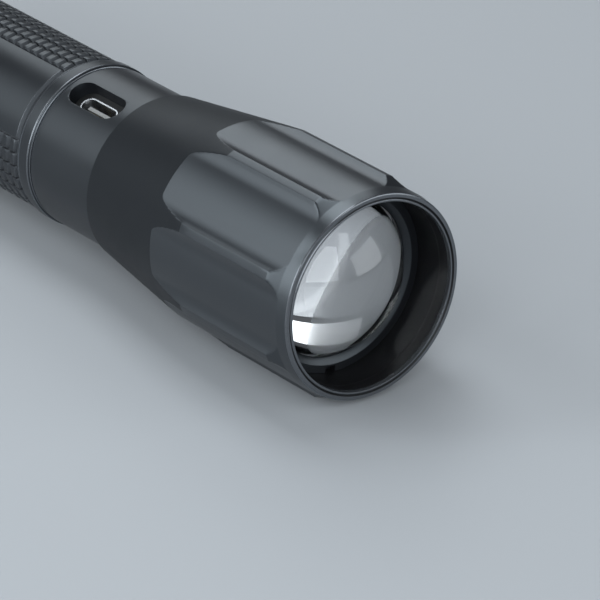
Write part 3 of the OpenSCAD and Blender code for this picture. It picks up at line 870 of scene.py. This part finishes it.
@dataclass
class BarrelAssembly:
    """Inner barrel with the collar, the charging port and the electronics."""

    layout: Layout
    tube_r: float = 14.55 * MM
    guide_r: float = 15.55 * MM
    guide_front: float = 40.5 * MM
    guide_rear: float = 46.6 * MM
    pill_bore_r: float = 12.5 * MM
    pill_rear: float = 52.5 * MM
    core_r: float = 11.5 * MM
    joint: float = 75.2 * MM
    collar_edge: float = 0.6 * MM
    collar_bow: tuple[tuple[float, float], ...] = ((0.25 * MM, 0.12 * MM), (0.04 * MM, 0.32 * MM))
    spigot_r: float = 12.9 * MM
    spigot_end: float = 84.2 * MM
    port_station: float = 67.1 * MM
    port_l: float = 13.2 * MM
    port_w: float = 5.3 * MM
    port_turn: float = -23.7
    port_shift: float = 0.5 * MM
    guide_edge: float = 0.3 * MM
    guide_groove: tuple[float, float] = (0.8 * MM, 1.2 * MM)
    spigot_groove: tuple[float, float] = (0.7 * MM, 0.9 * MM)
    spigot_seal: float = 2.5 * MM
    outline_round: float = 0.06 * MM
    slot_floor: float = 9.5 * MM
    slot_h: float = 8.0 * MM
    slot_round: float = 0.15 * MM
    lip_round: float = 0.06 * MM
    contact_count: int = 12
    contact_pitch: float = 0.5 * MM
    contact_size: tuple[float, float, float] = (0.26 * MM, 0.03 * MM, 3.4 * MM)
    contact_side: float = 0.35 * MM
    contact_h: float = 9.6 * MM

    def outline(self) -> Profile:
        """Outline of the barrel with its two seal grooves.

        Returns:
            Stations and radii round the wall.
        """
        middle = (self.guide_front + self.guide_rear) / 2.0
        return [
            (self.guide_front, self.pill_bore_r),
            (self.guide_front, self.guide_r - self.guide_edge),
            (self.guide_front + self.guide_edge, self.guide_r),
            *self.groove(middle, self.guide_r, self.guide_groove),
            (self.guide_rear, self.guide_r), (self.guide_rear, self.tube_r),
            (self.joint - self.collar_edge, self.tube_r),
            *[(self.joint - ahead, self.tube_r - drop) for ahead, drop in self.collar_bow],
            (self.joint, self.tube_r - self.collar_edge), (self.joint, self.spigot_r),
            *self.groove(self.joint + self.spigot_seal, self.spigot_r, self.spigot_groove),
            (self.spigot_end, self.spigot_r), (self.spigot_end, self.core_r),
            (self.pill_rear, self.core_r), (self.pill_rear, self.pill_bore_r)]

    @staticmethod
    def groove(middle: float, radius: float, size: tuple[float, float]) -> Profile:
        """Outline of a seal groove.

        Args:
            middle: the station of its middle.
            radius: the radius of the surface that it is cut into.
            size: half its width, and its depth.

        Returns:
            Its four corners, from front to rear.
        """
        half, depth = size
        return [
            (middle - half, radius), (middle - half, radius - depth),
            (middle + half, radius - depth), (middle + half, radius)]

    def port_place(self) -> Matrix:
        """Matrix that carries the port from straight up over the origin to its place."""
        place = Matrix.Translation((self.layout.x(self.port_station), 0.0, 0.0))
        return place @ Matrix.Rotation(math.radians(-self.port_turn), 4, "X")

    def slot_cutter(self) -> bmesh.types.BMesh:
        """Shape of the port's slot: a long hole with round ends that runs outward.

        Returns:
            The closed cutter, its faces marked as the barrel's inside.
        """
        mesh = bmesh.new()
        half = (self.port_l - self.port_w) / 2.0
        for side in (-1.0, 1.0):
            circle = bmesh.ops.create_circle(
                mesh, cap_ends=False, radius=self.port_w / 2.0, segments=48)["verts"]
            far = [vert for vert in circle if vert.co.x * side < -1e-7]
            bmesh.ops.delete(mesh, geom=far, context="VERTS")
            kept = [vert for vert in circle if vert.is_valid]
            bmesh.ops.translate(mesh, verts=kept, vec=(side * half, 0.0, 0.0))
        open_ends = [vert for vert in mesh.verts if len(vert.link_edges) == 1]
        for sign in (-1.0, 1.0):
            mesh.edges.new([vert for vert in open_ends if vert.co.y * sign > 0.0])
        bmesh.ops.contextual_create(mesh, geom=mesh.edges[:])
        grown = bmesh.ops.extrude_face_region(mesh, geom=mesh.faces[:])["geom"]
        top = [item for item in grown if isinstance(item, bmesh.types.BMVert)]
        bmesh.ops.translate(mesh, verts=mesh.verts, vec=(0.0, 0.0, self.slot_floor))
        bmesh.ops.translate(mesh, verts=top, vec=(0.0, 0.0, self.slot_h))
        bmesh.ops.recalc_face_normals(mesh, faces=mesh.faces)
        bmesh.ops.transform(mesh, matrix=self.port_place(), verts=mesh.verts)
        for face in mesh.faces:
            face.material_index = CollarFace.INSIDE
        return mesh

    def collar(self) -> None:
        """Builds the barrel with a softened slot and softened ends."""
        mesh = turned(
            self.layout, self.outline(), steps=200, edge_round=self.outline_round,
            longest=0.9 * MM)
        inner = self.spigot_r + 0.2 * MM
        for face in mesh.faces:
            middle = face.calc_center_median()
            if radius_of(middle) < inner:
                face.material_index = CollarFace.INSIDE
            elif self.layout.station(middle.x) > self.joint - self.collar_edge:
                face.material_index = CollarFace.REAR_EDGE
        mesh = carve(mesh, self.slot_cutter(), len(CollarFace))
        bmesh.ops.remove_doubles(mesh, verts=mesh.verts, dist=SKIN_SLACK)
        reach = 0.51 * self.port_l
        soften(mesh, self.slot_round, least_angle=30.0, where=edges_within(
            self.layout, self.tube_r - SKIN_SLACK, self.port_station - reach,
            self.port_station + reach))
        finish_piece(
            "port_collar", mesh, Body.BARREL,
            [Finishes.TURNED_BLACK, Finishes.MILLED_BLACK, Finishes.CUT_EDGE],
            ("focus_barrel",), smooth_angle=30.0)

    def socket(self) -> None:
        """Builds the charging socket's shell with rounded lips and the contacts on its tongue."""
        mesh = cad_copy("usb_shell")
        soften(mesh, self.lip_round, least_angle=40.0)
        finish_piece(
            "socket_shell", mesh, Body.BARREL, [Finishes.PLATED_STEEL], ("usb_shell",),
            smooth_angle=40.0)
        mesh = bmesh.new()
        first = -(self.contact_count - 1) / 2.0
        for side in (-self.contact_side, self.contact_side):
            for i in range(self.contact_count):
                pad = bmesh.ops.create_cube(mesh, size=1.0)["verts"]
                spot = ((first + i) * self.contact_pitch, side - self.port_shift, self.contact_h)
                bmesh.ops.scale(mesh, vec=self.contact_size, verts=pad)
                bmesh.ops.translate(mesh, vec=spot, verts=pad)
        bmesh.ops.transform(mesh, matrix=self.port_place(), verts=mesh.verts)
        finish_piece("socket_contacts", mesh, Body.BARREL, [Finishes.GOLD_CONTACT])

    def inside(self) -> None:
        """Dresses the port's small parts and the pieces inside the barrel."""
        dress(Finishes.GREY_MOULDING, "usb_tongue")
        dress(Finishes.SEAL_RUBBER, "port_gasket", "focus_o_ring", "barrel_o_ring")
        dress(Finishes.TURNED_BRASS, "led_pill", "driver_ring", "contact_post")
        dress(Finishes.WHITE_MASK, "led_board", "led_package")
        dress(Finishes.LAMP_SILICONE, "led_dome")
        dress(Finishes.BLACK_MOULDING, "led_cover", "board_carrier")
        dress(Finishes.GREEN_MASK, "charge_board", "driver_board")

    def build(self) -> None:
        """Builds and dresses the whole barrel."""
        self.collar()
        self.socket()
        self.inside()


@dataclass
class GripAssembly:
    """Knurled grip tube, its tail thread and the seal behind it."""

    layout: Layout
    base_r: float = 14.0 * MM
    skin_r: float = 13.8 * MM
    knurl_start: float = 79.5 * MM
    groove_h: float = 0.33 * MM
    band_round: float = 0.16 * MM
    block_round: float = 0.15 * MM
    slope_len: float = 0.75 * MM
    tail_r: float = 12.65 * MM
    root_r: float = 12.25 * MM
    thread_start: float = 156.7 * MM
    thread_end: float = 160.5 * MM
    thread_pitch: float = 1.244 * MM
    thread_lead_in: float = 0.6 * MM
    thread_sink: float = 0.05 * MM
    thread_fit: float = 0.03 * MM
    root_half: float = 0.44784 * MM
    crest_half: float = 0.05 * MM
    turn_steps: int = 72

    def surface_of(self, face: bmesh.types.BMFace) -> GripFace:
        """Tells which finish a face of the grip takes before its edges are rounded.

        Args:
            face: a face of the grip.

        Returns:
            The material number.
        """
        middle = face.calc_center_median()
        radius = radius_of(middle)
        if radius < self.skin_r:
            return GripFace.BORE
        # Faces low in the knurl take the lighter finish, painted light that lifts the shade in its
        # gaps.
        behind = self.layout.station(middle.x) > self.knurl_start
        in_groove = behind and radius < self.base_r + self.groove_h
        return GripFace.GROOVE if in_groove else GripFace.OUTSIDE

    def tube(self) -> None:
        """Builds the grip with softened edges and a spigot cut down to the thread's root."""
        mesh = cad_copy("grip_tube")
        for vert in mesh.verts:
            radius = radius_of(vert.co)
            threaded = self.layout.station(vert.co.x) > self.thread_start - self.thread_lead_in
            if threaded and radius > self.root_r:
                vert.co.y *= self.root_r / radius
                vert.co.z *= self.root_r / radius
        mesh.normal_update()
        for face in mesh.faces:
            face.material_index = self.surface_of(face)
        on_band = edges_within(self.layout, self.skin_r, 0.0, self.knurl_start)
        on_knurl = edges_within(self.layout, self.skin_r, self.knurl_start, math.inf)
        least_forward = 0.2
        for face in soften(mesh, self.band_round, least_angle=30.0, where=on_band):
            face.material_index = GripFace.EDGE
        for face in soften(mesh, self.block_round, least_angle=25.0, segments=1, where=on_knurl):
            station = self.layout.station(face.calc_center_median().x)
            if station < self.knurl_start + self.slope_len and face.normal.x > least_forward:
                face.material_index = GripFace.EDGE
        finish_piece(
            "knurled_grip", mesh, Body.BARREL,
            [Finishes.TURNED_BLACK, Finishes.BORE_BLACK, Finishes.CUT_EDGE,
             Finishes.GROOVE_PAINTED_LIGHT], ("grip_tube",), smooth_angle=30.0)

    def thread(self) -> None:
        """Winds the tail thread as one ridge round the spigot."""
        mesh = bmesh.new()
        low = self.root_r - self.thread_sink
        crest = self.tail_r - self.thread_fit
        corners = [
            (-self.root_half, low), (-self.crest_half, crest), (self.crest_half, crest),
            (self.root_half, low)]
        section = mesh.faces.new([
            mesh.verts.new((self.layout.x(self.thread_start + behind), 0.0, radius))
            for behind, radius in corners])
        turns = (self.thread_end - self.thread_start) / self.thread_pitch
        steps = int(turns * self.turn_steps)
        bmesh.ops.spin(
            mesh, geom=[section], cent=ORIGIN, axis=AXIS,
            dvec=(-self.thread_pitch / self.turn_steps, 0.0, 0.0),
            angle=math.tau * steps / self.turn_steps, steps=steps, use_merge=False,
            use_duplicate=False)
        bmesh.ops.recalc_face_normals(mesh, faces=mesh.faces)
        finish_piece("tail_thread", mesh, Body.BARREL, [Finishes.TURNED_BLACK])

    def build(self) -> None:
        """Builds and dresses the grip."""
        self.tube()
        self.thread()
        dress(Finishes.SEAL_RUBBER, "tail_o_ring")


@dataclass
class CellAssembly:
    """Rechargeable cell, which keeps its solids' own meshes."""

    def build(self) -> None:
        """Dresses the cell."""
        dress(Finishes.CELL_WRAP, "cell_body")
        dress(Finishes.PLATED_STEEL, "cell_terminal")


@dataclass
class TailAssembly:
    """Tail cap with the switch and the push button."""

    cap_round: float = 0.15 * MM
    button_round: float = 0.3 * MM

    def cap(self) -> None:
        """Builds the fluted tail cap with softened edges."""
        mesh = cad_copy("tail_cap")
        soften(mesh, self.cap_round, least_angle=30.0)
        finish_piece(
            "fluted_tail_cap", mesh, Body.TAIL, [Finishes.TURNED_BLACK],
            ("tail_cap",), smooth_angle=30.0)

    def button(self) -> None:
        """Builds the soft button with rounded edges."""
        mesh = cad_copy("tail_button")
        soften(mesh, self.button_round, least_angle=30.0, segments=3)
        finish_piece(
            "push_button", mesh, Body.BUTTON, [Finishes.BUTTON_RUBBER],
            ("tail_button",), smooth_angle=40.0)

    def inside(self) -> None:
        """Dresses the switch and the spring."""
        dress(Finishes.PLATED_STEEL, "tail_spring")
        dress(Finishes.GREEN_MASK, "switch_board")
        dress(Finishes.BLACK_MOULDING, "switch_body", "switch_holder")
        dress(Finishes.TURNED_BRASS, "switch_ring")
        dress(Finishes.GREY_MOULDING, "switch_plunger")

    def build(self) -> None:
        """Builds and dresses the whole tail."""
        self.cap()
        self.button()
        self.inside()


@dataclass(frozen=True)
class SoftBox:
    """A soft lamp that faces the torch; a glow of 1 shows as white."""

    name: str
    toward: tuple[float, float, float]
    away: float
    size: tuple[float, float]
    glow: float
    colour: Colour = (0.90, 0.96, 1.0)

    def hang(self) -> None:
        """Hangs the lamp in its direction from the torch."""
        data = bpy.data.lights.new(self.name, "AREA")
        data.shape = "RECTANGLE"
        data.size, data.size_y = self.size
        data.energy = math.pi * self.size[0] * self.size[1] * self.glow
        data.color = self.colour
        lamp = bpy.data.objects.new(self.name, data)
        lamp.location = Vector(self.toward).normalized() * self.away
        lamp.rotation_euler = (-lamp.location).to_track_quat("-Z", "Y").to_euler()
        bpy.context.scene.collection.objects.link(lamp)


@dataclass
class Studio:
    """Floor, lamps and camera."""

    layout: Layout
    boxes: tuple[SoftBox, ...] = (
        SoftBox("rear_box", (-0.66, 0.36, 0.60), 1.0, (0.62, 0.52), 2.1),
        SoftBox("top_box", (-0.30, 0.08, 1.0), 1.1, (0.50, 0.75), 4.6),
        SoftBox("left_box", (-0.62, -0.56, 0.50), 1.0, (0.55, 0.70), 1.5),
        SoftBox("edge_box", (-0.44, -0.60, 0.67), 1.0, (0.22, 0.38), 4.6),
        SoftBox("side_box", (-0.22, -0.93, 0.30), 0.9, (0.75, 0.46), 4.2),
        SoftBox("right_box", (0.75, 0.55, 0.24), 0.9, (0.70, 0.40), 2.7),
        SoftBox("front_box", (0.76, -0.50, 0.44), 0.95, (0.95, 0.75), 3.4))
    room: Colour = (0.10, 0.107, 0.117)
    paper: Colour = (0.38, 0.393, 0.41)
    paper_rough: float = 0.5
    paper_ior: float = 1.25
    floor_size: float = 4.0
    azimuth: float = 51.6
    elevation: float = 26.27
    distance: float = 0.811
    rim_right: float = 0.0118
    rim_up: float = 0.0004
    lens_mm: float = 300.0
    sensor_mm: float = 36.0
    nearest: float = 0.01
    head_rest: float = 36.0 * MM
    tail_rest: float = 173.0 * MM

    def floor(self) -> None:
        """Lays a pale floor that touches the head's lowest flute and the tail cap."""
        head_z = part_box("head_shell")[0].z
        tail_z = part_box("tail_cap")[0].z
        slope = math.atan2(tail_z - head_z, self.tail_rest - self.head_rest)
        mesh = bmesh.new()
        bmesh.ops.create_grid(mesh, x_segments=1, y_segments=1, size=self.floor_size)
        place = Matrix.Translation((self.layout.x(self.head_rest), 0.0, head_z))
        bmesh.ops.transform(mesh, matrix=place @ Matrix.Rotation(slope, 4, "Y"), verts=mesh.verts)
        data = bpy.data.meshes.new("studio_floor")
        mesh.to_mesh(data)
        mesh.free()
        paper = bpy.data.materials.new("pale_paper")
        paper.use_nodes = True
        shader = paper.node_tree.nodes["Principled BSDF"]
        shader.inputs["Base Color"].default_value = (*self.paper, 1.0)
        shader.inputs["Roughness"].default_value = self.paper_rough
        shader.inputs["IOR"].default_value = self.paper_ior
        data.materials.append(paper)
        floor = bpy.data.objects.new("studio_floor", data)
        bpy.context.scene.collection.objects.link(floor)

    def lamps(self) -> None:
        """Hangs the soft boxes and sets a dim room."""
        for box in self.boxes:
            box.hang()
        world = bpy.data.worlds.new("dim_room")
        bpy.context.scene.world = world
        world.use_nodes = True
        backdrop = world.node_tree.nodes["Background"]
        backdrop.inputs["Color"].default_value = (*self.room, 1.0)

    def camera(self) -> None:
        """Sets the camera at the photo's point of view."""
        turn = math.radians(self.azimuth)
        rise = math.radians(self.elevation)
        right = Vector((math.cos(turn), math.sin(turn), 0.0))
        flat = Vector((math.sin(turn), -math.cos(turn), 0.0))
        back = flat * math.cos(rise) + Vector((0.0, 0.0, math.sin(rise)))
        up = back.cross(right)
        rim = Vector((self.layout.rim_x, 0.0, 0.0))
        data = bpy.data.cameras.new("photo_camera")
        data.lens = self.lens_mm
        data.sensor_width = self.sensor_mm
        data.clip_start = self.nearest
        camera = bpy.data.objects.new("photo_camera", data)
        basis = Matrix((right, up, back)).transposed().to_4x4()
        basis.translation = rim - right * self.rim_right - up * self.rim_up + back * self.distance
        camera.matrix_world = basis
        bpy.context.scene.collection.objects.link(camera)
        bpy.context.scene.camera = camera

    def build(self) -> None:
        """Sets up the whole studio."""
        self.floor()
        self.lamps()
        self.camera()
        bpy.context.scene.view_settings.view_transform = "Standard"


def main() -> None:
    """Builds the torch and its studio."""
    logging.basicConfig(level=logging.INFO, format="%(name)s %(message)s")
    layout = Layout.from_frame()
    for part in (HeadAssembly(layout), BarrelAssembly(layout), GripAssembly(layout),
                 CellAssembly(), TailAssembly(), Studio(layout)):
        part.build()


if __name__ == "__main__":
    main()
